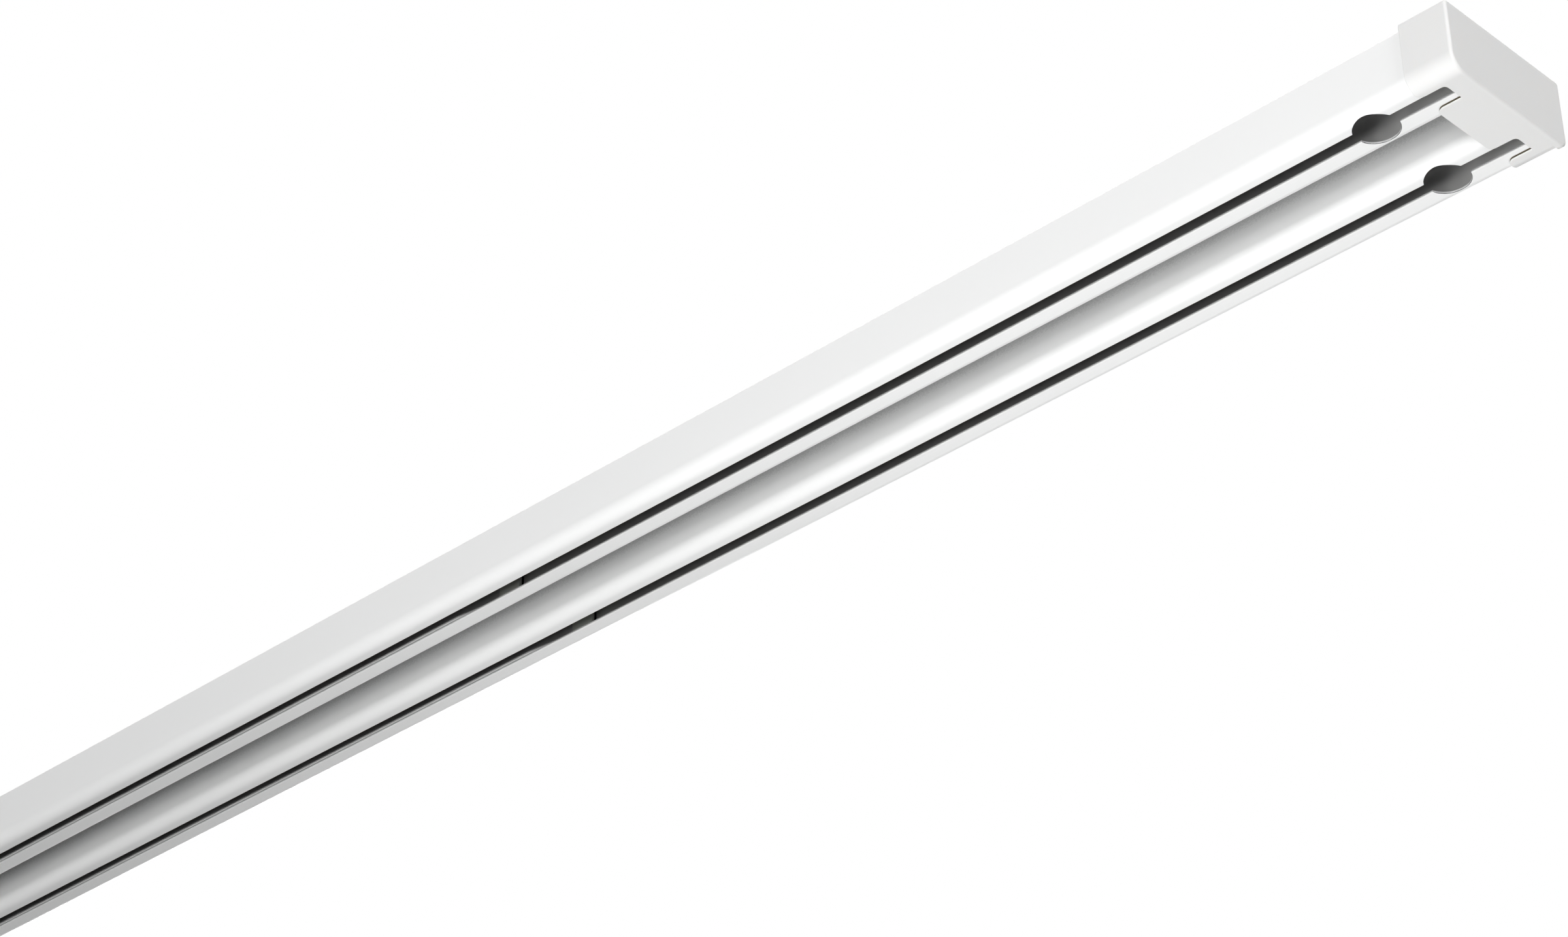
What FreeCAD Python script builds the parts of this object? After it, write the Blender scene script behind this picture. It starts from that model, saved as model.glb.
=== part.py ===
"""Two-channel ceiling curtain track that extends: one outer profile, two inner rails, two end caps.

Frame: X runs along the track, towards the end with the entry holes. Y runs across it, from the
front channel to the back channel. Z is up. The origin is the middle of the track's top face,
which lies against the ceiling brackets. All sizes are in millimetres.
"""

import FreeCAD, Part
import math
import os

# Section of the outer track. Both channels have the same section, one pitch apart.
channel_count = 2
channel_pitch = 32.0
channel_width = 18.0
track_height = 19.2
outer_wall = 0.8
near_corner_radius = 4.2
far_corner_radius = 3.2
top_edge_radius = 0.5
slot_setback = 6.2
slot_width = 4.4

# Lengths along the track.
outer_length = 1200.0
inner_length = 826.0

# Round entry holes, one through each slot, near the end with the fixed cap.
entry_hole_radius = 6.6
entry_hole_from_end = 29.7
entry_hole_past_slot_middle = 0.4

# Inner rails, one in each channel of the outer track.
slide_gap = 0.2
inner_wall = 0.9
lead_in_length = 25.0
lead_in_depth = 2.7

# Sleeves that line the open end of each inner rail, where the gliders cross the step.
sleeve_wall = 0.9
sleeve_length = 9.5
sleeve_fit = 0.05
sleeve_mouth_past_slot = 3.2

# End caps. The drop is the air under the profile, where the bottom plate stands off it.
cap_wall = 0.75
cap_fit = 0.25
cap_drop = 0.5
cap_rise = 1.8
cap_depth = 15.3
end_plate = 2.0
end_edge_radius = 0.9
cap_top_radius = 1.2
plate_corner_radius = 2.4

# Notches that leave each slot and its far lip bare under the cap.
notch_from_face = 7.0
finger_past_slot = 1.0
notch_past_slot = 1.9
notch_inner_radius = 1.2
finger_corner_radius = 2.0
tongue_corner_radius = 2.4
far_strip_corner_radius = 0.8

# The moving cap carries the inner rails on plugs and stops just short of the outer track's end.
plug_length = 8.0
plug_fit = 0.05
closed_gap = 0.3

# Tools reach this far past what they cut.
overcut = 5.0

# Values that follow from the sizes above.
track_width = channel_pitch * (channel_count - 1) + channel_width
half_width = track_width / 2
outer_end = outer_length / 2
bottom = -track_height
inner_inset = outer_wall + slide_gap
inner_bore_inset = inner_inset + inner_wall
moving_plate_face = -outer_end - closed_gap
inner_end = moving_plate_face + inner_length


def point(x, y, z):
    return FreeCAD.Vector(x, y, z)


def channel_side(index):
    """Y of the near side of a channel's outline, counted from the front."""
    return -half_width + index * channel_pitch


def slot_edge(index):
    """Y of the near edge of a channel's slot."""
    return channel_side(index) + slot_setback


def line(a, b):
    return Part.LineSegment(a, b).toShape()


def corner_arc(centre_y, centre_z, radius, start_angle):
    """A quarter turn in the YZ plane, anticlockwise from start_angle in degrees."""
    angles = [math.radians(start_angle + step) for step in (0, 45, 90)]
    ends = [point(0, centre_y + radius * math.cos(a), centre_z + radius * math.sin(a)) for a in angles]
    return Part.Arc(*ends).toShape()


def inset_radius(radius, inset):
    """Radius of a corner once its outline has moved in by inset, never quite sharp."""
    return max(radius - inset, 0.3)


def outline(side, width, inset, top, top_radius):
    """Closed outline: rounded bottom corners, near and far, and small top corners.

    side and width give the outline before it moves in by inset. The top edge is at top.
    """
    near = side + inset
    far = side + width - inset
    low = bottom + inset
    near_r = inset_radius(near_corner_radius, inset)
    far_r = inset_radius(far_corner_radius, inset)
    edges = [
        corner_arc(near + near_r, low + near_r, near_r, 180),
        line(point(0, near + near_r, low), point(0, far - far_r, low)),
        corner_arc(far - far_r, low + far_r, far_r, 270),
        line(point(0, far, low + far_r), point(0, far, top - top_radius)),
        corner_arc(far - top_radius, top - top_radius, top_radius, 0),
        line(point(0, far - top_radius, top), point(0, near + top_radius, top)),
        corner_arc(near + top_radius, top - top_radius, top_radius, 90),
        line(point(0, near, top - top_radius), point(0, near, low + near_r)),
    ]
    return Part.Wire(edges)


def extrude(wire, start, end):
    """Solid along X between start and end from a closed wire at X zero."""
    solid = Part.Face(wire).extrude(point(end - start, 0, 0))
    solid.translate(point(start, 0, 0))
    return solid


def channel_solid(index, inset, start, end):
    """A channel's section, moved in by inset on every side, as a solid from start to end."""
    radius = inset_radius(top_edge_radius, inset)
    wire = outline(channel_side(index), channel_width, inset, -inset, radius)
    return extrude(wire, start, end)


def box(x_range, y_range, z_range):
    size = [high - low for low, high in (x_range, y_range, z_range)]
    return Part.makeBox(*size, point(x_range[0], y_range[0], z_range[0]))


def slot_cutter(index, inset, start, end, extra=0.0):
    """Opens a channel's bottom along its slot, extra wider on each side."""
    low_y = slot_edge(index) - extra
    high_y = slot_edge(index) + slot_width + extra
    return box((start, end), (low_y, high_y), (bottom - overcut, bottom + inset + overcut))


def outer_track():
    """Both channels, the web that joins them at the top, the slots and the entry holes."""
    body = channel_solid(0, 0.0, -outer_end, outer_end)
    for index in range(1, channel_count):
        body = body.fuse(channel_solid(index, 0.0, -outer_end, outer_end))
        web_near = channel_side(index - 1) + channel_width - top_edge_radius * 2
        web_far = channel_side(index) + top_edge_radius * 2
        body = body.fuse(box((-outer_end, outer_end), (web_near, web_far), (-outer_wall, 0)))
    hole_x = outer_end - entry_hole_from_end
    for index in range(channel_count):
        body = body.cut(channel_solid(index, outer_wall, -outer_end - overcut, outer_end + overcut))
        body = body.cut(slot_cutter(index, 0.0, -outer_end - overcut, outer_end + overcut))
        hole_y = slot_edge(index) + slot_width / 2 + entry_hole_past_slot_middle
        hole_z = bottom - overcut
        body = body.cut(Part.makeCylinder(entry_hole_radius, 2 * overcut, point(hole_x, hole_y, hole_z)))
    return body.removeSplitter()


def lead_in_cutter(index):
    """Wedge that narrows both lips of an inner rail towards its open end."""
    near = slot_edge(index)
    far = near + slot_width
    z = bottom - overcut
    reach = 1.0 + overcut / lead_in_length
    corners = [
        point(inner_end - lead_in_length, near, z),
        point(inner_end + overcut, near - lead_in_depth * reach, z),
        point(inner_end + overcut, far + lead_in_depth * reach, z),
        point(inner_end - lead_in_length, far, z),
    ]
    wire = Part.makePolygon(corners + corners[:1])
    return Part.Face(wire).extrude(point(0, 0, overcut + inner_bore_inset + inner_wall))


def inner_rail(index):
    """A slotted channel that nests in one channel of the outer track."""
    body = channel_solid(index, inner_inset, moving_plate_face, inner_end)
    bore = channel_solid(index, inner_bore_inset, moving_plate_face - overcut, inner_end + overcut)
    body = body.cut(bore)
    body = body.cut(slot_cutter(index, 0.0, moving_plate_face - overcut, inner_end + overcut))
    return body.cut(lead_in_cutter(index)).removeSplitter()


def end_sleeve(index):
    """Liner flush with an inner rail's open end, with an open bottom clear of the lips."""
    outside = inner_bore_inset + sleeve_fit
    start = inner_end - sleeve_length
    body = channel_solid(index, outside, start, inner_end)
    body = body.cut(channel_solid(index, outside + sleeve_wall, start - overcut, inner_end + overcut))
    mouth = slot_cutter(index, outside, start - overcut, inner_end + overcut, sleeve_mouth_past_slot)
    return body.cut(mouth).removeSplitter()


def notch_cutter(index):
    """Cuts a cap's bottom plate from its rear edge, for a cap whose end face is at X zero."""
    near = slot_edge(index) - finger_past_slot
    far = slot_edge(index) + slot_width + notch_past_slot
    last = index == channel_count - 1
    first_r = finger_corner_radius
    second_r = far_strip_corner_radius if last else tongue_corner_radius
    rear = -cap_depth
    inner = -notch_from_face
    r = notch_inner_radius
    half = math.sqrt(0.5)
    z = bottom - cap_fit - cap_wall - overcut
    edges = [
        Part.Arc(
            point(rear, near - first_r, z),
            point(rear + first_r * (1 - half), near - first_r * (1 - half), z),
            point(rear + first_r, near, z),
        ).toShape(),
        line(point(rear + first_r, near, z), point(inner - r, near, z)),
        Part.Arc(
            point(inner - r, near, z),
            point(inner - r * (1 - half), near + r * (1 - half), z),
            point(inner, near + r, z),
        ).toShape(),
        line(point(inner, near + r, z), point(inner, far, z)),
        line(point(inner, far, z), point(rear + second_r, far, z)),
        Part.Arc(
            point(rear + second_r, far, z),
            point(rear + second_r * (1 - half), far + second_r * (1 - half), z),
            point(rear, far + second_r, z),
        ).toShape(),
        line(point(rear, far + second_r, z), point(rear - overcut, far + second_r, z)),
        line(point(rear - overcut, far + second_r, z), point(rear - overcut, near - first_r, z)),
        line(point(rear - overcut, near - first_r, z), point(rear, near - first_r, z)),
    ]
    depth = overcut + cap_wall + cap_fit + max(near_corner_radius, far_corner_radius)
    return Part.Face(Part.Wire(edges)).extrude(point(0, 0, depth))


def cap_block():
    """The cap's outer form: round-cornered, with a squarer far bottom corner on its end plate."""
    wall = cap_fit + cap_wall
    far = half_width + wall
    low = bottom - wall
    corner_size = far_corner_radius + wall
    block = extrude(outline(-half_width, track_width, -wall, cap_rise, cap_top_radius), -cap_depth, 0)
    corner = box((-end_plate, 0), (far - corner_size, far), (low, low + corner_size))
    corner_edge = [e for e in corner.Edges if e.BoundBox.YMin > far - 0.01 and e.BoundBox.ZMax < low + 0.01]
    block = block.fuse(corner.makeFillet(plate_corner_radius, corner_edge)).removeSplitter()
    face_edges = [e for e in block.Edges if e.BoundBox.XMin > -0.01]
    return block.makeFillet(end_edge_radius, face_edges)


def end_cap():
    """A moulded cap, open at the top and rear, with its end face at X zero."""
    body = cap_block()
    cavity = outline(-half_width, track_width, -cap_fit, cap_rise + overcut, cap_top_radius)
    cavity = extrude(cavity, -cap_depth - overcut, -end_plate)
    cavity.translate(point(0, 0, cap_fit - cap_drop))
    body = body.cut(cavity)
    for index in range(channel_count):
        body = body.cut(notch_cutter(index))
    return body


def fixed_cap():
    """The cap on the outer track's end, with its end plate against the profile."""
    cap = end_cap()
    cap.translate(point(outer_end + end_plate, 0, 0))
    return cap


def moving_cap():
    """The same cap turned round for the inner rails, with a plug for each one's bore."""
    cap = end_cap().mirror(point(0, 0, 0), point(1, 0, 0))
    cap.translate(point(moving_plate_face - end_plate, 0, 0))
    for index in range(channel_count):
        plug_start = moving_plate_face - end_plate / 2
        plug = channel_solid(index, inner_bore_inset + plug_fit, plug_start, moving_plate_face + plug_length)
        cap = cap.fuse(plug)
    return cap.removeSplitter()


def write(name, shape):
    solids = shape.Solids
    if len(solids) != 1 or not shape.isValid():
        raise ValueError(name + " is not one valid solid")
    solids[0].exportStep("parts/" + name + ".step")


def main():
    os.makedirs("parts", exist_ok=True)
    write("outer_track", outer_track())
    write("end_cap_fixed", fixed_cap())
    write("end_cap_moving", moving_cap())
    for index, place in enumerate(("front", "back")[:channel_count]):
        write("inner_rail_" + place, inner_rail(index))
        write("end_sleeve_" + place, end_sleeve(index))


main()
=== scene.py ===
"""Extendable two-channel curtain track: painted channels, moulded end caps, liner sleeves, studio.

All sizes are in metres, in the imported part's frame: X runs along the track towards the end with
the entry holes, Y from the front channel to the back one, and Z up. The top face is at Z zero.
"""

import math
from collections import namedtuple
from functools import cached_property

import bmesh
import bpy
from bpy.props import FloatProperty, FloatVectorProperty, IntProperty, PointerProperty
from bpy.types import Operator, Panel, PropertyGroup
from mathutils import Matrix, Vector


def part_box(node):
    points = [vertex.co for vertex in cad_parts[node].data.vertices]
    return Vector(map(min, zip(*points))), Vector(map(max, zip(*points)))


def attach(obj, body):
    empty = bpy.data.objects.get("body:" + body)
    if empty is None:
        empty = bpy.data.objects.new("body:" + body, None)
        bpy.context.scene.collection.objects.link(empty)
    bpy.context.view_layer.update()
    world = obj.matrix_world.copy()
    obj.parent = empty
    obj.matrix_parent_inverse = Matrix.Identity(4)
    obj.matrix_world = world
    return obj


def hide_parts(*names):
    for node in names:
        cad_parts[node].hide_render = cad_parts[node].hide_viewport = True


bl_info = {
    "name": "Extendable curtain track",
    "version": (1, 0, 0),
    "blender": (4, 5, 0),
    "location": "3D View > Sidebar > Track",
    "description": "Makes a two-channel curtain track with its inner rails, end caps and studio",
    "category": "Add Mesh",
}

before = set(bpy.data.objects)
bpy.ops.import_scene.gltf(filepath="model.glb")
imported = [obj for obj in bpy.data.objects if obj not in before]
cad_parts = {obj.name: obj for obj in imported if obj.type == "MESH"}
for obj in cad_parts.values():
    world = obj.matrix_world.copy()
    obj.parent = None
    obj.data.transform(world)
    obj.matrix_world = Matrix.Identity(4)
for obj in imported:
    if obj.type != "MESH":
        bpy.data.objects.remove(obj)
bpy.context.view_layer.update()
TRACK_LOW, TRACK_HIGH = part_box("outer_track")
OPEN_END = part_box("inner_rail_front")[1].x
PLACES = ("front", "back")

# Points closer than this are taken as one.
SNAP = 0.000001
# Edges that turn by more than SHARP are eased, and faces that turn by less than FLAT are joined.
SHARP, FLAT = math.radians(40.0), math.radians(0.3)
# The radius of the channels' upper corners inside, and the faces round those and the top edges.
SMALL_CORNER, SMALL_STEPS, TOP_STEPS = 0.0003, 3, 4
# The faces round an entry hole, and the distances beside it at which the track gets an edge across.
HOLE_FACES, HOLE_LOOPS = 96, (0.001, 0.002)
# The channels' material slots after the first, which has the paint.
BORE_SLOT, LIP_SLOT = 1, 2
WHITE = (1.0, 1.0, 1.0, 1.0)

Channel = namedtuple(
    "Channel", "near far low top slot_near slot_far wall near_radius far_radius top_radius"
)


# Properties


def length(name, description, default):
    """A length that the user can set, in metres."""
    return FloatProperty(
        name=name,
        description=description,
        default=default,
        min=0.0,
        precision=5,
        unit="LENGTH",
        subtype="DISTANCE",
    )


def share(name, description, default):
    """A plain share between zero and one."""
    return FloatProperty(
        name=name, description=description, default=default, min=0.0, max=1.0, subtype="FACTOR"
    )


def colour(name, description, default):
    """A linear colour that the user can set."""
    return FloatVectorProperty(
        name=name, description=description, default=default, size=3, min=0.0, max=1.0, subtype="COLOR"
    )


def power(name, description, default):
    """A lamp's power, in watts."""
    return FloatProperty(
        name=name, description=description, default=default, min=0.0, unit="POWER"
    )


class TrackSizes(PropertyGroup):
    """Sizes of the channels, the slots and the entry holes."""

    channel_width: length("Channel width", "Outside width of one channel", 0.018)
    outer_wall: length("Outer wall", "Wall of the outer track", 0.0008)
    inner_wall: length("Inner wall", "Wall of the inner rails", 0.0009)
    near_corner: length("Near corner", "Outside radius of a channel's near bottom corner", 0.0042)
    far_corner: length("Far corner", "Outside radius of a channel's far bottom corner", 0.0032)
    top_corner: length("Top corner", "Outside radius of the track's top edges", 0.0005)
    slot_setback: length("Slot setback", "From a channel's near side to its slot", 0.0062)
    slot_width: length("Slot width", "Width of each slot", 0.0044)
    hole_radius: length("Hole radius", "Radius of the entry holes", 0.0066)
    hole_from_end: length("Hole from end", "From the track's end to the holes' middle", 0.0297)
    hole_past_middle: length("Hole past middle", "From the slot's middle to the hole's", 0.0004)
    lead_in_length: length("Lead-in length", "Length over which an inner rail's lips taper", 0.025)
    lead_in_depth: length("Lead-in depth", "How far each lip is cut back at the open end", 0.0027)
    end_plate: length("End plate", "Thickness of a cap's end plate", 0.002)
    ledge_reach: length("Ledge reach", "Size of the ledge behind a plate's full corner", 0.0045)
    notch_past_slot: length("Notch past slot", "From a slot to the cap plate beyond it", 0.0019)
    tongue_corner: length("Tongue corner", "Corner radius of the cap's middle tongue", 0.0024)
    strip_corner: length("Strip corner", "Corner radius of the cap's far strip", 0.0024)
    edge_ease: length("Edge ease", "Small round on the edges of the metal", 0.00012)
    cap_ease: length("Cap ease", "Small round on the edges of the mouldings", 0.0002)
    corner_steps: IntProperty(
        name="Corner steps", description="Faces round each large corner", default=12, min=2
    )


class TrackFinish(PropertyGroup):
    """Colours and sheen of the paint, the plastics and the sawn metal, and of the painted shade and
    light in and under the track.
    """

    paint: colour("Paint", "Powder coat on the outer track", (0.858, 0.862, 0.86))
    inner_paint: colour("Inner paint", "Powder coat on the inner rails", (0.843, 0.847, 0.845))
    cap_plastic: colour("Cap plastic", "Plastic of the end caps", (0.76, 0.76, 0.755))
    sleeve_plastic: colour("Sleeve plastic", "Plastic of the liner sleeves", (0.52, 0.535, 0.495))
    # The bore colours are partly bare metal and sprayed paint, partly painted shade high in the channels
    # and painted light low near the slots.
    bore_metal_and_shade: colour("Bore metal", "Metal high inside the outer channels", (0.38, 0.38, 0.38))
    bore_spray_and_light: colour("Bore spray", "Paint that reaches in through the slots", (0.5, 0.5, 0.495))
    inner_bore_and_shade: colour("Inner bore", "Metal high inside the inner rails", (0.32, 0.32, 0.32))
    inner_spray_and_light: colour("Inner spray", "Paint low inside the inner rails", (0.45, 0.45, 0.45))
    # Painted shadow for the dark line in the gap under the fixed cap's plate.
    gap_shadow: colour("Dust", "Dust in the gap under the fixed cap", (0.2, 0.165, 0.105))
    # Painted shade deep in the groove, where little light reaches: the share of the paint's lightness
    # kept there.
    groove_shade: share("Thin coat", "How light the paint is deep in the groove", 0.66)
    sawn_metal: colour("Sawn metal", "Bare metal at the track's sawn end", (0.56, 0.56, 0.55))
    # Painted shade: a near-black on the inner rails' open end faces, deep in the channels.
    open_end_shade: colour("Dark cut", "Blackened metal at the inner rails' open ends", (0.02, 0.018, 0.016))
    paint_roughness: share("Paint roughness", "Roughness of the powder coat", 0.36)
    plastic_roughness: share("Plastic roughness", "Roughness of the moulded plastic", 0.62)


class TrackStudio(PropertyGroup):
    """The floor, the lamps and the world."""

    floor_drop: length("Floor drop", "From the track's top face to the floor", 9.0)
    floor_colour: colour("Floor colour", "Colour of the floor", (0.82, 0.82, 0.81))
    front_power: power("Front lamp", "Power of the lamp in front", 25.0)
    low_power: power("Low lamp", "Power of the lamp in front and below", 15.2)
    end_power: power("End lamp", "Power of the lamp high beyond the capped end", 34.0)
    under_power: power("Under lamp", "Power of the small lamp under the capped end", 1.9)
    near_power: power("Near lamp", "Power of the small lamp close under the track", 0.83)
    top_power: power("Top lamp", "Power of the lamp above and behind", 38.0)
    back_power: power("Back lamp", "Power of the lamp behind the track", 70.0)
    world_level: share("World level", "Light from the surroundings", 0.04)
    lens: FloatProperty(
        name="Lens",
        description="Focal length of the camera",
        default=87.761,
        min=1.0,
        unit="CAMERA",
    )


# Meshes


def add_object(name, bm, *materials):
    """A new object that holds the bmesh, linked to the scene."""
    mesh = bpy.data.meshes.new(name)
    bm.to_mesh(mesh)
    bm.free()
    for material in materials:
        mesh.materials.append(material)
    made = bpy.data.objects.new(name, mesh)
    bpy.context.scene.collection.objects.link(made)
    return made


def outer_channel(sizes, index):
    """The outside of one of the outer track's channels, counted from the front."""
    pitch = TRACK_HIGH.y - TRACK_LOW.y - sizes.channel_width
    near = TRACK_LOW.y + index * pitch
    slot_near = near + sizes.slot_setback
    return Channel(
        near=near,
        far=near + sizes.channel_width,
        low=TRACK_LOW.z,
        top=TRACK_HIGH.z,
        slot_near=slot_near,
        slot_far=slot_near + sizes.slot_width,
        wall=sizes.outer_wall,
        near_radius=sizes.near_corner,
        far_radius=sizes.far_corner,
        top_radius=sizes.top_corner,
    )


def inner_channel(sizes, index):
    """The outside of the inner rail that nests in one channel of the outer track."""
    low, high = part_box("inner_rail_" + PLACES[index])
    host = outer_channel(sizes, index)
    inset = low.y - host.near
    return host._replace(
        near=low.y,
        far=high.y,
        low=low.z,
        top=high.z,
        wall=sizes.inner_wall,
        near_radius=host.near_radius - inset,
        far_radius=host.far_radius - inset,
        top_radius=SMALL_CORNER,
    )


def section_corners(channels):
    """Corners of a section of channels hung side by side from one top plate, as (Y, Z) in order."""
    top = channels[0].top
    corners = [(channels[0].near, top), (channels[-1].far, top)]
    for index, c in reversed(list(enumerate(channels))):
        floor, ceiling = c.low + c.wall, c.top - c.wall
        corners += [(c.far, c.low), (c.slot_far, c.low), (c.slot_far, floor)]
        corners += [(c.far - c.wall, floor), (c.far - c.wall, ceiling)]
        corners += [(c.near + c.wall, ceiling), (c.near + c.wall, floor)]
        corners += [(c.slot_near, floor), (c.slot_near, c.low), (c.near, c.low)]
        if index > 0:
            corners += [(c.near, ceiling), (channels[index - 1].far, ceiling)]
    return corners


def prism(corners, travel):
    """A closed prism: a flat face with these corners, extruded by a vector."""
    bm = bmesh.new()
    face = bm.faces.new([bm.verts.new(corner) for corner in corners])
    grown = bmesh.ops.extrude_face_region(bm, geom=[face])
    moved = [item for item in grown["geom"] if isinstance(item, bmesh.types.BMVert)]
    bmesh.ops.translate(bm, verts=moved, vec=travel)
    bmesh.ops.recalc_face_normals(bm, faces=bm.faces)
    return bm


def round_corner(bm, corner, radius, steps, axes="yz"):
    """Rounds the edges that cross the plane of two axes at a corner, given in that plane."""
    place = Vector(corner)
    edges = [
        edge
        for edge in bm.edges
        if all((getattr(vert.co, axes) - place).length < SNAP for vert in edge.verts)
    ]
    bmesh.ops.bevel(
        bm, geom=edges, offset=radius, segments=steps, profile=0.5, affect="EDGES", material=-1
    )


def extruded_channels(channels, start, end, steps):
    """A straight length of channels, with their corners rounded inside and out."""
    outline = [(start, y, z) for y, z in section_corners(channels)]
    bm = prism(outline, (end - start, 0.0, 0.0))
    for c in channels:
        near, far, low, top = c.near + c.wall, c.far - c.wall, c.low + c.wall, c.top - c.wall
        for face in bm.faces:
            middle = face.calc_center_median()
            within = near - SNAP < middle.y < far + SNAP and low - SNAP < middle.z < top + SNAP
            across = round(face.normal.x) != 0
            if within and not across:
                face.material_index = BORE_SLOT
        round_corner(bm, (c.near, c.low), c.near_radius, steps)
        round_corner(bm, (c.far, c.low), c.far_radius, steps)
        round_corner(bm, (near, low), c.near_radius - c.wall, steps)
        round_corner(bm, (far, low), c.far_radius - c.wall, steps)
        round_corner(bm, (near, top), SMALL_CORNER, SMALL_STEPS)
        round_corner(bm, (far, top), SMALL_CORNER, SMALL_STEPS)
    first, last = channels[0], channels[-1]
    round_corner(bm, (first.near, first.top), first.top_radius, TOP_STEPS)
    round_corner(bm, (last.far, last.top), last.top_radius, TOP_STEPS)
    return bm


def cut_across(bm, place):
    """Adds the edges in which the plane at X = place meets a bmesh."""
    geometry = bm.verts[:] + bm.edges[:] + bm.faces[:]
    bmesh.ops.bisect_plane(bm, geom=geometry, plane_co=(place, 0.0, 0.0), plane_no=(1.0, 0.0, 0.0))


def cut_away(piece, cutter_bm):
    """Takes a closed shape out of a piece's mesh."""
    cutter = add_object("cutter", cutter_bm)
    cut = piece.modifiers.new("cut", "BOOLEAN")
    cut.operation = "DIFFERENCE"
    cut.solver = "EXACT"
    cut.object = cutter
    bpy.context.view_layer.update()
    evaluated = piece.evaluated_get(bpy.context.evaluated_depsgraph_get())
    old = piece.data
    piece.data = bpy.data.meshes.new_from_object(evaluated)
    piece.data.name = piece.name
    piece.modifiers.clear()
    bpy.data.meshes.remove(old)
    bpy.data.meshes.remove(cutter.data)


def mark_lip_edges(piece, channels):
    """Gives the lips' material to the upright faces through the channels' bottoms."""
    upright, lip_walls = 0.1, 2.5
    for face in piece.data.polygons:
        y, z = face.center.yz
        for c in channels:
            between = c.near + c.wall < y < c.far - c.wall
            low_down = c.low < z < c.low + lip_walls * c.wall
            if between and low_down and abs(face.normal.z) < upright:
                face.material_index = LIP_SLOT


def hole_cutter(sizes, channel):
    """A round bar through a channel's bottom where gliders go in."""
    bm = bmesh.new()
    middle = (channel.slot_near + channel.slot_far) / 2 + sizes.hole_past_middle
    place = Vector((TRACK_HIGH.x - sizes.hole_from_end, middle, channel.low))
    bar_length = 0.01
    bmesh.ops.create_cone(
        bm,
        cap_ends=True,
        segments=HOLE_FACES,
        radius1=sizes.hole_radius,
        radius2=sizes.hole_radius,
        depth=bar_length,
        matrix=Matrix.Translation(place),
    )
    return bm


def lead_in_cutter(sizes, channel):
    """A wedge that widens an inner rail's slot towards its open end."""
    past = 0.002
    depth = sizes.lead_in_depth * (1.0 + past / sizes.lead_in_length)
    start, end, low = OPEN_END - sizes.lead_in_length, OPEN_END + past, channel.low - past
    corners = [
        (start, channel.slot_near, low),
        (end, channel.slot_near - depth, low),
        (end, channel.slot_far + depth, low),
        (start, channel.slot_far, low),
    ]
    return prism(corners, (0.0, 0.0, past + channel.near_radius))


def strip_corner_cutter(rear, near, low, radius, steps):
    """What a fuller radius takes off the rear corner of a cap's far strip."""
    hair, past = 0.00001, 0.001
    x, y, arm = rear - hair, near - hair, radius + 2.0 * hair
    corners = [
        (x - past, y - past, low - past),
        (x + arm, y - past, low - past),
        (x + arm, y, low - past),
        (x, y, low - past),
        (x, y + arm, low - past),
        (x - past, y + arm, low - past),
    ]
    bm = prism(corners, (0.0, 0.0, past + TRACK_LOW.z - low))
    round_corner(bm, (x, y), radius + hair, steps, "xy")
    return bm


def mirror_ends(bm, ends):
    """Turns a closed shape from one end of the track to the other. Ends is the sum of their X."""
    bmesh.ops.scale(bm, verts=bm.verts, vec=(-1.0, 1.0, 1.0))
    bmesh.ops.translate(bm, verts=bm.verts, vec=(ends, 0.0, 0.0))
    bmesh.ops.reverse_faces(bm, faces=bm.faces)


def ledge_corner(ledge, far, low, reach):
    """A test for the corner of the small ledge behind a cap's end plate, which stays sharp."""
    slack = 0.0001

    def leave(place):
        return abs(place.x - ledge) < slack and place.y > far - reach and place.z < low + reach

    return leave


def ease_edges(piece, width, leave=None):
    """Smooth shading, and small rounds on a piece's sharp edges, but not where leave is true."""
    bm = bmesh.new()
    bm.from_mesh(piece.data)
    weight = bm.edges.layers.float.new("bevel_weight_edge")
    for edge in bm.edges:
        sharp = edge.is_manifold and edge.calc_face_angle() > SHARP
        if sharp and not (leave and all(leave(vert.co) for vert in edge.verts)):
            edge[weight] = 1.0
    bm.to_mesh(piece.data)
    bm.free()
    piece.data.shade_smooth()
    ease = piece.modifiers.new("ease", "BEVEL")
    ease.width = width
    ease.segments = 2
    ease.limit_method = "WEIGHT"
    ease.use_clamp_overlap = False
    piece.modifiers.new("weld", "WELD").merge_threshold = SNAP
    piece.modifiers.new("flat faces", "WEIGHTED_NORMAL")


def moulded_copy(node, name, material):
    """A copy of a CAD moulding with its loose triangles joined into whole faces."""
    bm = bmesh.new()
    bm.from_mesh(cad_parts[node].data)
    bmesh.ops.remove_doubles(bm, verts=bm.verts, dist=SNAP)
    bmesh.ops.dissolve_limit(bm, angle_limit=FLAT, verts=bm.verts, edges=bm.edges)
    return add_object(name, bm, material)


def place_piece(piece, node, body):
    """Puts a piece in a CAD node's stead, on its body."""
    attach(piece, body)
    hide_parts(node)


# Finishes


class Wire:
    """A node's output in a material. Arithmetic on it adds Math nodes."""

    def __init__(self, finish, socket):
        self.finish = finish
        self.socket = socket

    def __add__(self, other):
        return self.finish.maths("ADD", self, other)

    def __sub__(self, other):
        return self.finish.maths("SUBTRACT", self, other)

    def __rsub__(self, other):
        return self.finish.maths("SUBTRACT", other, self)

    def __mul__(self, other):
        return self.finish.maths("MULTIPLY", self, other)

    def __abs__(self):
        return self.finish.maths("ABSOLUTE", self)

    __radd__ = __add__
    __rmul__ = __mul__


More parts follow.
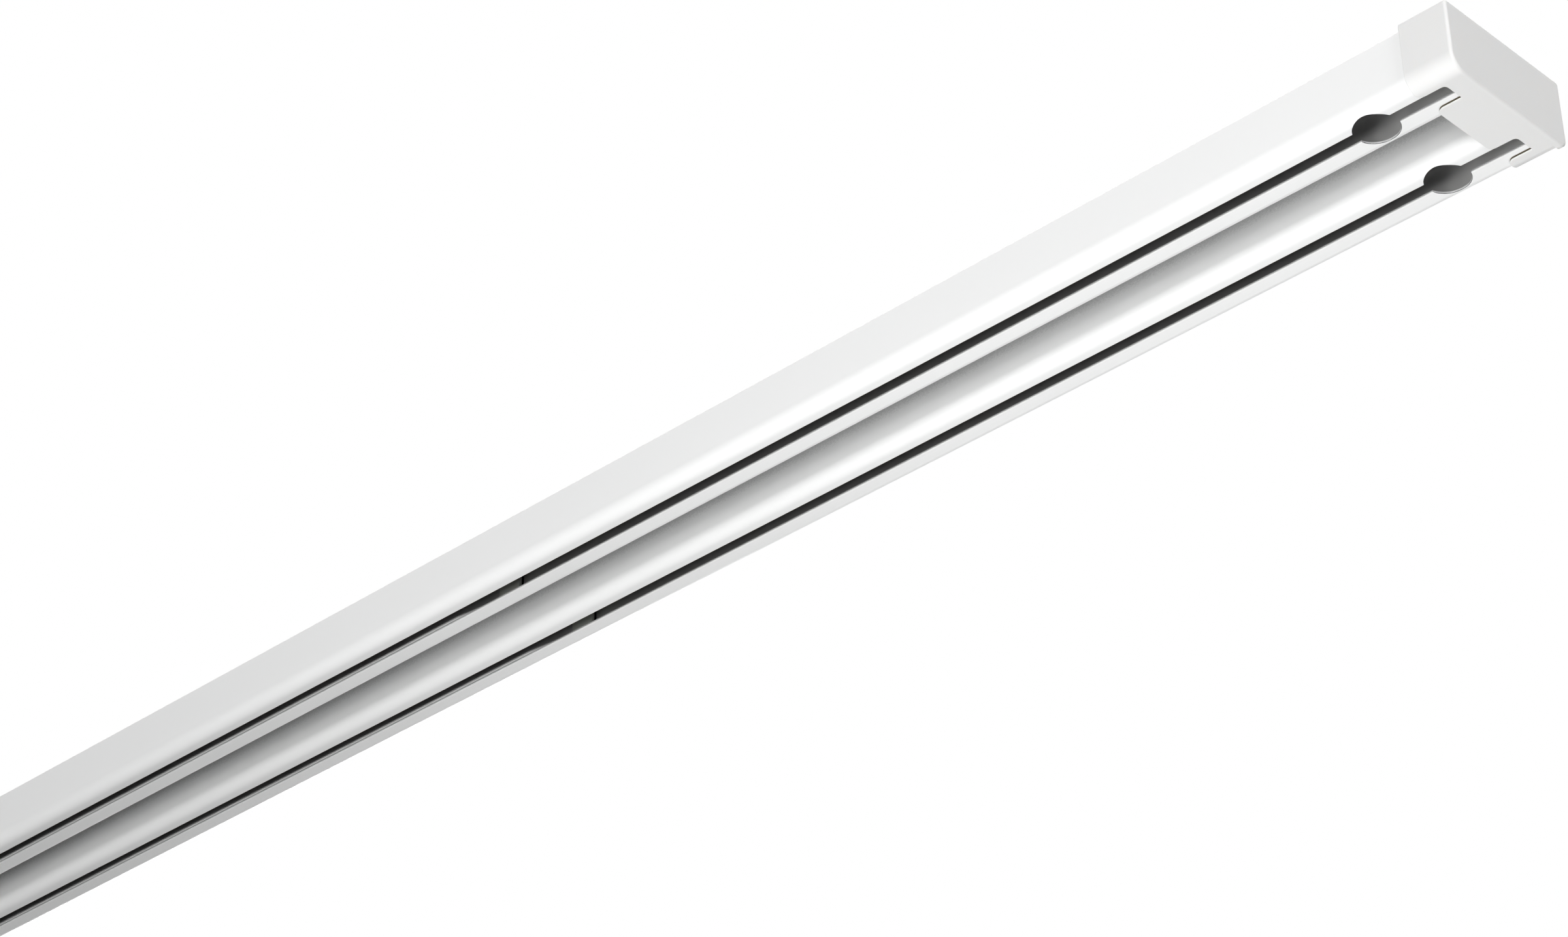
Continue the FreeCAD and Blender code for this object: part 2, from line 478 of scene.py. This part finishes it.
class Finish:
    """A material in the making, or the world when its node tree is given."""

    def __init__(self, name, tree=None):
        if tree is None:
            self.material = bpy.data.materials.new(name)
            self.material.use_nodes = True
            tree = self.material.node_tree
        self.tree = tree

    @cached_property
    def place(self):
        """The place on the piece, in metres."""
        return self.node("ShaderNodeTexCoord", output="Object")

    def along(self, axis):
        """One coordinate of the place on the piece."""
        return self.node("ShaderNodeSeparateXYZ", {}, {"Vector": self.place}, output=axis)

    def maths(self, operation, *values):
        """A number from one or two others."""
        return self.node("ShaderNodeMath", {"operation": operation}, values)

    def node(self, kind, settings=(), values=(), output=0):
        """Adds a node: first its settings, then the values or links of its sockets."""
        made = self.tree.nodes.new(kind)
        for name, value in dict(settings).items():
            setattr(made, name, value)
        for key, value in values.items() if isinstance(values, dict) else enumerate(values):
            self.feed(made.inputs[key], value)
        return Wire(self, made.outputs[output])

    def feed(self, socket, value):
        """Gives a socket a value or a link."""
        if isinstance(value, Wire):
            self.tree.links.new(value.socket, socket)
        else:
            socket.default_value = value

    def surface(self, **values):
        """Feeds the Principled shader. An underscore stands for a space in a socket's name."""
        shader = self.tree.nodes["Principled BSDF"]
        for name, value in values.items():
            self.feed(shader.inputs[name.replace("_", " ")], value)

    def grain(self, scale, detail=2.0, stretch=(1.0, 1.0, 1.0)):
        """Noise with cells about 1/scale metres across, drawn out along the axes of small stretch."""
        place = self.node(
            "ShaderNodeMapping", {"vector_type": "POINT"}, {"Vector": self.place, "Scale": stretch}
        )
        return self.node("ShaderNodeTexNoise", {}, {"Vector": place, "Scale": scale, "Detail": detail})

    def step(self, value, start, end):
        """Zero below start and one above end, with a smooth rise between them."""
        return self.node(
            "ShaderNodeMapRange",
            {"interpolation_type": "SMOOTHSTEP"},
            {"Value": value, "From Min": start, "From Max": end},
        )

    def fall(self, value, start, end):
        """One below start and zero above end, with a smooth fall between them."""
        return 1 - self.step(value, start, end)

    def mix(self, factor, first, second):
        """A colour between two others."""
        return self.node(
            "ShaderNodeMix", {"data_type": "RGBA"}, {0: factor, 6: first, 7: second}, output=2
        )

    def shades(self, factor, base, darkest, lightest):
        """A colour between two shades of one colour property."""
        return self.mix(factor, shade(base, darkest), shade(base, lightest))

    def relief(self, height, distance):
        """A bump whose height of one stands for distance in metres."""
        return self.node("ShaderNodeBump", {}, {"Height": height, "Distance": distance})


def shade(base, factor=1.0):
    """A colour property as a socket value, made darker or lighter."""
    return (*(min(1.0, part * factor) for part in base), 1.0)


def swing(noise, width):
    """Noise as a change up and down that is width wide in all."""
    return (noise - 0.5) * width


def painted_metal(name, paint, cut, paint_roughness, sawn_end, marks=()):
    """Satin powder coat, the cut colour on the face at a sawn end (bare metal on the outer track, a
    painted shade on the inner rails), and marks in their own colours, some of them painted shade.
    """
    finish = Finish(name)
    coat_start, metal_end = 0.00012, 0.00004
    bare = finish.fall(abs(finish.along("X") - sawn_end), metal_end, coat_start)
    drift = finish.grain(scale=9.0, detail=3.0)
    peel = finish.grain(scale=900.0, detail=2.0)
    speck = finish.grain(scale=4200.0, detail=1.0)
    draw = finish.grain(scale=650.0, detail=2.0, stretch=(0.004, 1.0, 1.0))
    saw = finish.grain(scale=2600.0, detail=2.0, stretch=(1.0, 1.0, 0.06))
    coat = finish.shades(drift, paint, darkest=0.985, lightest=1.01)
    for mask, mark in marks:
        coat = finish.mix(mask(finish), coat, mark)
    metal = finish.shades(saw, cut, darkest=0.7, lightest=1.1)
    height = (peel * 0.55 + speck * 0.2 + draw * 0.25) * (1 - bare) + saw * bare
    finish.surface(
        Base_Color=finish.mix(bare, coat, metal),
        Metallic=bare,
        Roughness=paint_roughness + swing(peel, 0.12) + swing(drift, 0.06),
        Normal=finish.relief(height, distance=0.000004),
        Specular_IOR_Level=0.35,
    )
    return finish.material


def lip_edge(name, paint, metal, channel, hole=None):
    """The paint's tone, going to a darker metal tone upwards through a slot's lips, and a hole's pale
    wall with a chipped rim.
    """
    finish = Finish(name)
    ragged, pale_share = 0.0003, 0.8
    rough = finish.grain(scale=1500.0, detail=3.0, stretch=(0.3, 1.0, 1.0))
    height = finish.along("Z") + swing(rough, ragged)
    darkening = finish.step(height, channel.low, channel.low + channel.wall * pale_share)
    drawn = finish.shades(rough, metal, darkest=0.7, lightest=1.4)
    tone = finish.mix(darkening, shade(paint), drawn)
    if hole:
        middle, radius = hole
        slot_margin, wall_margin = 0.0001, 0.0006
        chip_end, wall_start = 0.00018, 0.0003
        aside = abs(finish.along("X") - middle)
        inside = finish.fall(aside, radius - wall_margin, radius - slot_margin)
        chipped = finish.fall(height, channel.low + chip_end, channel.low + wall_start)
        wall = finish.shades(rough, metal, darkest=1.6, lightest=2.0)
        tone = finish.mix(inside, tone, finish.mix(chipped, wall, shade(metal, 0.12)))
    finish.surface(
        Base_Color=tone,
        Roughness=0.4 + swing(rough, 0.3),
        Normal=finish.relief(rough * darkening, distance=0.00001),
    )
    return finish.material


def bore_metal_and_shade(name, metal, spray_and_light, coated_and_lit_end=None):
    """Drawn metal in a channel, partly bare metal and partly painted shade, lighter at the slot and
    towards a capped end: partly paint, partly painted light.
    """
    finish = Finish(name)
    lighter_below, darker_above, ragged = -0.0145, -0.0090, 0.002
    drift = finish.grain(scale=30.0, detail=3.0, stretch=(0.2, 1.0, 1.0))
    draw = finish.grain(scale=900.0, detail=3.0, stretch=(0.004, 1.0, 1.0))
    # Lighter downwards towards the slot: paint sprayed in low down, and painted shade high up where
    # little light gets in.
    sprayed_and_lit = finish.fall(finish.along("Z") + swing(draw, ragged), lighter_below, darker_above)
    grey = finish.shades(draw * 0.6 + drift * 0.4, metal, darkest=0.85, lightest=1.15)
    dull = finish.mix(sprayed_and_lit, grey, shade(spray_and_light))
    metallic = 0.35
    # Lighter towards the capped end: paint reaching in there, and painted light that the cap throws
    # back.
    if coated_and_lit_end:
        ramp_start, ramp_full = 0.032, 0.016
        end_coat_and_light = finish.step(finish.along("X"), coated_and_lit_end - ramp_start, coated_and_lit_end - ramp_full)
        dull = finish.mix(end_coat_and_light, dull, shade(spray_and_light, 1.8))
        metallic = (1 - end_coat_and_light) * metallic
    finish.surface(
        Base_Color=dull,
        Metallic=metallic,
        Roughness=0.42 + swing(draw, 0.2),
        Normal=finish.relief(draw, distance=0.000006),
    )
    return finish.material


def groove_shade_mask(half_width):
    """A mask for painted shade deep in the groove between the channels, up towards the top plate."""
    unshaded_below, shaded_above, ragged = -0.0094, -0.0045, 0.004
    side_start, side_end = half_width + 0.0001, half_width + 0.0004
    plate_start, plate_end = TRACK_HIGH.z - 0.0006, TRACK_HIGH.z - 0.0004

    def mask(finish):
        speckle = finish.grain(scale=2600.0, detail=2.0, stretch=(0.6, 1.0, 1.0))
        height = finish.along("Z") + swing(speckle, ragged)
        below_top = finish.fall(finish.along("Z"), plate_start, plate_end)
        between = finish.fall(abs(finish.along("Y")), side_start, side_end)
        return finish.step(height, unshaded_below, shaded_above) * between * below_top

    return mask


def plate_shadow_mask(rear, near, far, corner):
    """A mask for painted shadow where a cap plate covers the track, from its rear and near edges, which
    meet in a corner.
    """
    rim, far_rim = 0.00016, 0.0002
    skin_start, skin_end = TRACK_LOW.z + 0.0002, TRACK_LOW.z + 0.0006

    def mask(finish):
        past = rear + corner - finish.along("X"), near + corner - finish.along("Y")
        outside = [finish.maths("MAXIMUM", part, 0.0) for part in past]
        reach = finish.maths("SQRT", outside[0] * outside[0] + outside[1] * outside[1])
        inner = finish.maths("MINIMUM", finish.maths("MAXIMUM", *past), 0.0)
        covered = finish.fall(reach + inner - corner, -rim, 0.0)
        covered *= finish.fall(finish.along("Y"), far - far_rim, far)
        return covered * finish.fall(finish.along("Z"), skin_start, skin_end)

    return mask


def moulded_plastic(name, plastic, roughness, light_depth):
    """Fine-textured plastic that lets a little light into its edges."""
    finish = Finish(name)
    drift = finish.grain(scale=40.0, detail=3.0)
    texture = finish.grain(scale=3000.0, detail=3.0)
    swirl = finish.grain(scale=220.0, detail=2.0, stretch=(0.35, 1.0, 1.0))
    finish.surface(
        Base_Color=finish.shades(drift, plastic, darkest=0.985, lightest=1.01),
        Roughness=roughness + swing(texture, 0.12) + swing(swirl, 0.08),
        Normal=finish.relief(texture * 0.7 + swirl * 0.3, distance=0.000004),
        Specular_IOR_Level=0.15,
        Subsurface_Weight=0.1,
        Subsurface_Radius=(1.0, 0.8, 0.65),
        Subsurface_Scale=light_depth,
    )
    return finish.material


# Operators


class TRACK_OT_outer_track(Operator):
    """Make the outer track: two slotted channels joined at the top, with their entry holes"""

    bl_idname = "curtain_track.outer_track"
    bl_label = "Outer track"

    def execute(self, context):
        sizes, colours = context.scene.track_sizes, context.scene.track_finish
        channels = [outer_channel(sizes, index) for index in range(len(PLACES))]
        bm = extruded_channels(channels, TRACK_LOW.x, TRACK_HIGH.x, sizes.corner_steps)
        hole = TRACK_HIGH.x - sizes.hole_from_end
        for beside in HOLE_LOOPS:
            cut_across(bm, hole - sizes.hole_radius - beside)
            cut_across(bm, hole + sizes.hole_radius + beside)
        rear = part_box("end_cap_fixed")[0].x
        # The deep of the groove gets a painted shade.
        groove_shade_tone = shade(colours.paint, colours.groove_shade)
        marks = [(groove_shade_mask(channels[1].near), groove_shade_tone)]
        # Each channel also gets a painted shadow where the fixed cap's plate covers it.
        for channel, corner in zip(channels, (sizes.tongue_corner, sizes.strip_corner)):
            near = channel.slot_far + sizes.notch_past_slot
            marks.append((plate_shadow_mask(rear, near, channel.far, corner), shade(colours.gap_shadow)))
        coat = painted_metal(
            "track paint",
            colours.paint,
            colours.sawn_metal,
            colours.paint_roughness,
            TRACK_LOW.x,
            marks,
        )
        bore = bore_metal_and_shade("track bore", colours.bore_metal_and_shade, colours.bore_spray_and_light, TRACK_HIGH.x)
        lips = lip_edge(
            "track lip edges",
            colours.paint,
            colours.bore_metal_and_shade,
            channels[0],
            (hole, sizes.hole_radius),
        )
        piece = add_object("track_profile", bm, coat, bore, lips)
        for channel in channels:
            cut_away(piece, hole_cutter(sizes, channel))
        mark_lip_edges(piece, channels)
        ease_edges(piece, sizes.edge_ease)
        place_piece(piece, "outer_track", "track")
        return {"FINISHED"}


class TRACK_OT_inner_rails(Operator):
    """Make the two inner rails, whose lips taper towards the open end"""

    bl_idname = "curtain_track.inner_rails"
    bl_label = "Inner rails"

    def execute(self, context):
        sizes, colours = context.scene.track_sizes, context.scene.track_finish
        # The inner rails' open end faces take a painted shade in place of cut metal.
        coat = painted_metal(
            "inner rail paint",
            colours.inner_paint,
            colours.open_end_shade,
            colours.paint_roughness,
            OPEN_END,
        )
        bore = bore_metal_and_shade("inner rail bore", colours.inner_bore_and_shade, colours.inner_spray_and_light)
        for index, place in enumerate(PLACES):
            node = "inner_rail_" + place
            channel = inner_channel(sizes, index)
            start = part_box(node)[0].x
            bm = extruded_channels([channel], start, OPEN_END, sizes.corner_steps)
            lips = lip_edge(place + " inner lip edges", colours.inner_paint, colours.inner_bore_and_shade, channel)
            piece = add_object(place + "_inner_channel", bm, coat, bore, lips)
            cut_away(piece, lead_in_cutter(sizes, channel))
            mark_lip_edges(piece, [channel])
            ease_edges(piece, sizes.edge_ease)
            place_piece(piece, node, "extension")
        return {"FINISHED"}


class TRACK_OT_sleeves(Operator):
    """Finish the liner sleeves in the inner rails' open ends"""

    bl_idname = "curtain_track.sleeves"
    bl_label = "Liner sleeves"

    def execute(self, context):
        sizes, colours = context.scene.track_sizes, context.scene.track_finish
        plastic = moulded_plastic(
            "sleeve plastic", colours.sleeve_plastic, colours.plastic_roughness, light_depth=0.0003
        )
        for place in PLACES:
            node = "end_sleeve_" + place
            piece = moulded_copy(node, place + "_liner_sleeve", plastic)
            ease_edges(piece, sizes.edge_ease)
            place_piece(piece, node, "extension")
        return {"FINISHED"}


class TRACK_OT_end_caps(Operator):
    """Finish the two end caps with eased edges"""

    bl_idname = "curtain_track.end_caps"
    bl_label = "End caps"

    def execute(self, context):
        sizes, colours = context.scene.track_sizes, context.scene.track_finish
        plastic = moulded_plastic(
            "cap plastic", colours.cap_plastic, colours.plastic_roughness, light_depth=0.0006
        )
        rear, outer_end = (corner.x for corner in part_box("end_cap_fixed"))
        near = outer_channel(sizes, 1).slot_far + sizes.notch_past_slot
        for node, body in (("end_cap_fixed", "track"), ("end_cap_moving", "extension")):
            piece = moulded_copy(node, node.replace("end_cap", "cap_moulding"), plastic)
            low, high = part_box(node)
            cutter = strip_corner_cutter(rear, near, low.z, sizes.strip_corner, sizes.corner_steps)
            ledge = high.x - sizes.end_plate
            if body == "extension":
                mirror_ends(cutter, low.x + outer_end)
                ledge = low.x + sizes.end_plate
            cut_away(piece, cutter)
            leave = ledge_corner(ledge, high.y, low.z, sizes.ledge_reach)
            ease_edges(piece, sizes.cap_ease, leave)
            piece.modifiers.new("triangles", "TRIANGULATE").keep_custom_normals = True
            place_piece(piece, node, body)
        return {"FINISHED"}


# Studio


# Each lamp's place, the point that it faces, its width and its height. Its power is a property.
LAMPS = {
    "front": ((1.2, -1.8, -0.35), (0.5, 0.0, 0.0), 1.2, 1.2),
    "low": ((0.6, -2.0, -1.2), (0.5, 0.0, 0.0), 0.6, 0.6),
    "end": ((2.4, -0.4, 1.4), (0.5, 0.0, 0.0), 0.8, 0.8),
    "under": ((0.8, 0.1, -0.7), (0.5, 0.0, 0.0), 0.5, 0.5),
    "near": ((0.45, -0.1, -0.4), (0.45, 0.0, 0.0), 0.3, 0.3),
    "top": ((0.0, 0.8, 2.2), (0.0, 0.0, 0.0), 3.0, 2.0),
    "back": ((-2.8, 2.2, 0.5), (-0.3, 0.0, 0.0), 2.0, 1.4),
}

# The floor's reach from the track, how far off it starts and ends fading, and its white till then.
FLOOR_REACH, FADE_START, FADE_END, NEAR_WHITE = 40.0, 8.0, 24.0, 0.6

CAMERA_PLACE = (1.02097, -0.71535, -0.63094)
CAMERA_RIGHT = (0.71629, 0.6977, -0.012)
CAMERA_FORWARD = (-0.58783, 0.61258, 0.52839)


def add_lamp(name, place, target, width, height, watts):
    """A soft rectangular lamp at place that faces target."""
    lamp = bpy.data.lights.new(name, "AREA")
    lamp.shape = "RECTANGLE"
    lamp.size, lamp.size_y = width, height
    lamp.energy = watts
    made = bpy.data.objects.new(name, lamp)
    made.location = place
    made.rotation_mode = "QUATERNION"
    made.rotation_quaternion = (Vector(target) - Vector(place)).to_track_quat("-Z", "Y")
    made.visible_camera = False
    bpy.context.scene.collection.objects.link(made)


def backdrop_mask(finish):
    """One for the rays that show the studio's white, zero for those that carry its light."""
    rays = [
        finish.node("ShaderNodeLightPath", output=name)
        for name in ("Is Camera Ray", "Is Glossy Ray", "Is Transmission Ray")
    ]
    return finish.step(rays[0] + rays[1] + rays[2], 0.0, 1.0)


def add_world(level):
    """A white background that lights the object at level."""
    world = bpy.data.worlds.new("studio")
    world.use_nodes = True
    bpy.context.scene.world = world
    finish = Finish("studio", world.node_tree)
    background = world.node_tree.nodes["Background"]
    finish.feed(background.inputs["Color"], WHITE)
    finish.feed(background.inputs["Strength"], backdrop_mask(finish) * (1.0 - level) + level)


def add_floor(drop, floor_colour):
    """A wide pale floor that keeps the track's shadow and fades to white far away."""
    bm = bmesh.new()
    bmesh.ops.create_grid(bm, x_segments=1, y_segments=1, size=FLOOR_REACH)
    bmesh.ops.translate(bm, verts=bm.verts, vec=(0.0, 0.0, -drop))
    finish = Finish("floor")
    grain = finish.grain(scale=60.0, detail=4.0)
    finish.surface(
        Base_Color=finish.shades(grain, floor_colour, darkest=0.99, lightest=1.0), Roughness=0.85
    )
    distance = finish.node("ShaderNodeVectorMath", {"operation": "LENGTH"}, [finish.place], "Value")
    far = finish.step(distance, FADE_START, FADE_END)
    white = finish.node("ShaderNodeEmission", {}, {"Color": WHITE})
    painted = Wire(finish, finish.tree.nodes["Principled BSDF"].outputs["BSDF"])
    share_white = backdrop_mask(finish) * (far * (1.0 - NEAR_WHITE) + NEAR_WHITE)
    shown = finish.node("ShaderNodeMixShader", {}, [share_white, painted, white])
    finish.feed(finish.tree.nodes["Material Output"].inputs["Surface"], shown)
    add_object("floor", bm, finish.material)


def add_camera(lens):
    """The camera at the photographed view, below the track and past its capped end."""
    data = bpy.data.cameras.new("camera")
    data.sensor_fit = "HORIZONTAL"
    data.sensor_width = 36.0
    data.lens = lens
    data.clip_start, data.clip_end = 0.05, 60.0
    camera = bpy.data.objects.new("camera", data)
    right = Vector(CAMERA_RIGHT).normalized()
    forward = Vector(CAMERA_FORWARD).normalized()
    up = right.cross(forward).normalized()
    turn = Matrix((forward.cross(up), up, -forward)).transposed()
    camera.matrix_world = Matrix.Translation(CAMERA_PLACE) @ turn.to_4x4()
    bpy.context.scene.collection.objects.link(camera)
    bpy.context.scene.camera = camera


class TRACK_OT_studio(Operator):
    """Make the floor, the lamps, the white surroundings and the camera"""

    bl_idname = "curtain_track.studio"
    bl_label = "Studio"

    def execute(self, context):
        studio = context.scene.track_studio
        context.scene.view_settings.view_transform = "Standard"
        add_world(studio.world_level)
        add_floor(studio.floor_drop, studio.floor_colour)
        for name, (place, target, width, height) in LAMPS.items():
            watts = getattr(studio, name + "_power")
            add_lamp(name + " lamp", place, target, width, height, watts)
        add_camera(studio.lens)
        return {"FINISHED"}


OPERATORS = (
    TRACK_OT_outer_track,
    TRACK_OT_inner_rails,
    TRACK_OT_sleeves,
    TRACK_OT_end_caps,
    TRACK_OT_studio,
)


class TRACK_PT_panel(Panel):
    """Buttons for the pieces of the track"""

    bl_idname = "TRACK_PT_panel"
    bl_label = "Curtain track"
    bl_space_type = "VIEW_3D"
    bl_region_type = "UI"
    bl_category = "Track"

    def draw(self, context):
        for operator in OPERATORS:
            self.layout.operator(operator.bl_idname)
        for group in ("track_sizes", "track_finish", "track_studio"):
            settings = getattr(context.scene, group)
            for name in settings.bl_rna.properties.keys():
                if name not in ("rna_type", "name"):
                    self.layout.prop(settings, name)


CLASSES = (TrackSizes, TrackFinish, TrackStudio, *OPERATORS, TRACK_PT_panel)


def register():
    """Registers the classes and gives the scene its settings."""
    for item in CLASSES:
        bpy.utils.register_class(item)
    bpy.types.Scene.track_sizes = PointerProperty(type=TrackSizes)
    bpy.types.Scene.track_finish = PointerProperty(type=TrackFinish)
    bpy.types.Scene.track_studio = PointerProperty(type=TrackStudio)


def unregister():
    """Takes the settings and the classes away again."""
    del bpy.types.Scene.track_studio
    del bpy.types.Scene.track_finish
    del bpy.types.Scene.track_sizes
    for item in reversed(CLASSES):
        bpy.utils.unregister_class(item)


def main():
    """Makes the whole track and its studio."""
    register()
    bpy.ops.curtain_track.outer_track()
    bpy.ops.curtain_track.inner_rails()
    bpy.ops.curtain_track.sleeves()
    bpy.ops.curtain_track.end_caps()
    bpy.ops.curtain_track.studio()


if __name__ == "__main__":
    main()
